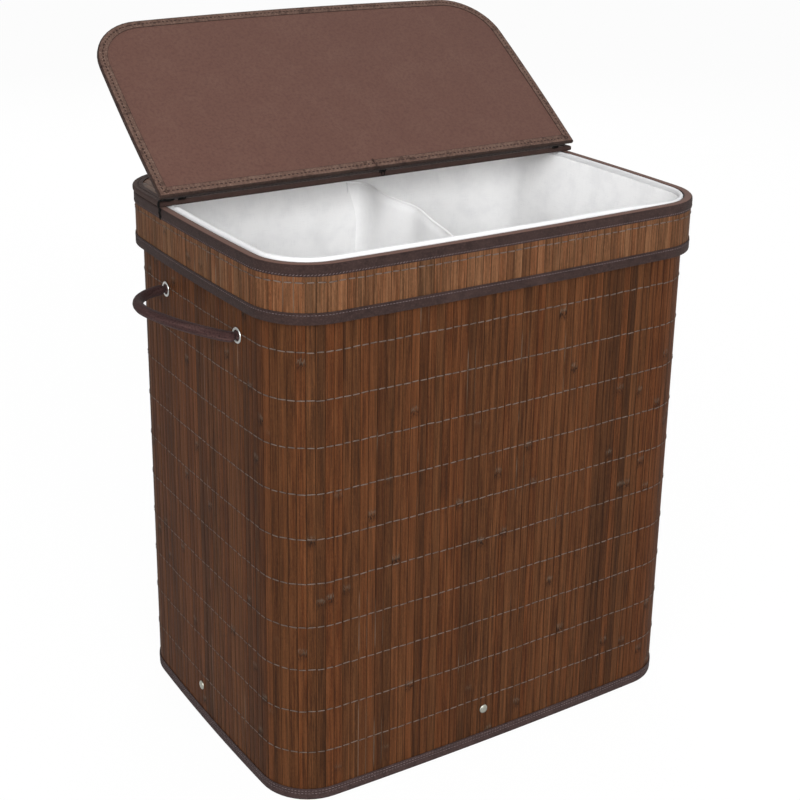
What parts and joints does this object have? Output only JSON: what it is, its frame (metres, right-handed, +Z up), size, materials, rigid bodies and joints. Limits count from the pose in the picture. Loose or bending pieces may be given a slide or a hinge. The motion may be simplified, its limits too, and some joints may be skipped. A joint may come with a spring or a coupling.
{
  "type": "laundry hamper with two bins",
  "caption": "Rounded rectangular bamboo hamper with a slip-over lid and hinged flap, a cloth liner whose divider makes the bins, and a rope handle at each end.",
  "frame": {"origin": "middle of the base's underside, on the floor", "axes": "+Z up, -Y towards the front that the open flap uncovers, +X to the right seen from the front"},
  "size_m": [0.6252, 0.4618, 0.7452],
  "materials": {
    "bamboo": "stained bamboo slats, satin",
    "lid_bamboo": "stained bamboo slats, lighter, satin",
    "brown_tape": "woven binding tape, stitched",
    "brown_cloth": "nonwoven cloth",
    "white_cloth": "plain cotton cloth",
    "board": "fibreboard",
    "rope": "braided cord",
    "nickel": "polished nickel plate",
    "wire": "drawn wire",
    "thread": "sewing thread"
  },
  "bodies": {
    "hamper": {"wall_slats": "bamboo", "wall_rim_tape": "brown_tape", "wall_foot_tape": "brown_tape", "wall_backing": "brown_cloth", "base_tab_front": "brown_cloth", "base_tab_right": "brown_cloth", "base_tab_back": "brown_cloth", "base_tab_left": "brown_cloth", "liner_bag": "white_cloth", "liner_floor": "white_cloth", "liner_divider": "white_cloth", "base_board": "board", "rope_knot_left_front": "rope", "rope_knot_left_back": "rope", "rope_knot_right_front": "rope", "rope_knot_right_back": "rope", "rivet_front": "nickel", "rivet_right": "nickel", "rivet_back": "nickel", "rivet_left": "nickel", "eyelet_left_front": "nickel", "eyelet_left_back": "nickel", "eyelet_right_front": "nickel", "eyelet_right_back": "nickel", "eyelet_washer_left_front": "nickel", "eyelet_washer_left_back": "nickel", "eyelet_washer_right_front": "nickel", "eyelet_washer_right_back": "nickel", "wall_rim_wire": "wire"},
    "lid": {"lid_band_slats": "lid_bamboo", "lid_band_backing": "brown_cloth", "lid_lower_tape": "brown_tape", "lid_upper_tape": "brown_tape", "lid_wire": "wire", "rear_slats": "lid_bamboo", "rear_board": "board", "rear_lining": "brown_cloth", "rear_tape": "brown_tape", "hinge_tack_left": "thread", "hinge_tack_middle": "thread", "hinge_tack_right": "thread"},
    "lid_flap": {"flap_slats": "lid_bamboo", "flap_board": "board", "flap_lining": "brown_cloth", "flap_tape": "brown_tape"},
    "handle_left": {"handle_rope_left": "rope"},
    "handle_right": {"handle_rope_right": "rope"}
  },
  "joints": [
    {"name": "lid_lift", "type": "slide", "parent": "hamper", "child": "lid", "axis": [0, 0, 1], "range_m": [0, 0.08]},
    {"name": "flap_hinge", "type": "hinge", "parent": "lid", "child": "lid_flap", "pos_m": [0, 0.063, 0.5891], "axis": [-1, 0, 0], "range_deg": [-144, 36]},
    {"name": "handle_left_swing", "type": "hinge", "parent": "hamper", "child": "handle_left", "pos_m": [-0.26635, -0.007, 0.49], "axis": [0, 1, 0], "range_deg": [-88, 75]},
    {"name": "handle_right_swing", "type": "hinge", "parent": "hamper", "child": "handle_right", "pos_m": [0.26635, -0.007, 0.49], "axis": [0, -1, 0], "range_deg": [-88, 75]}
  ]
}
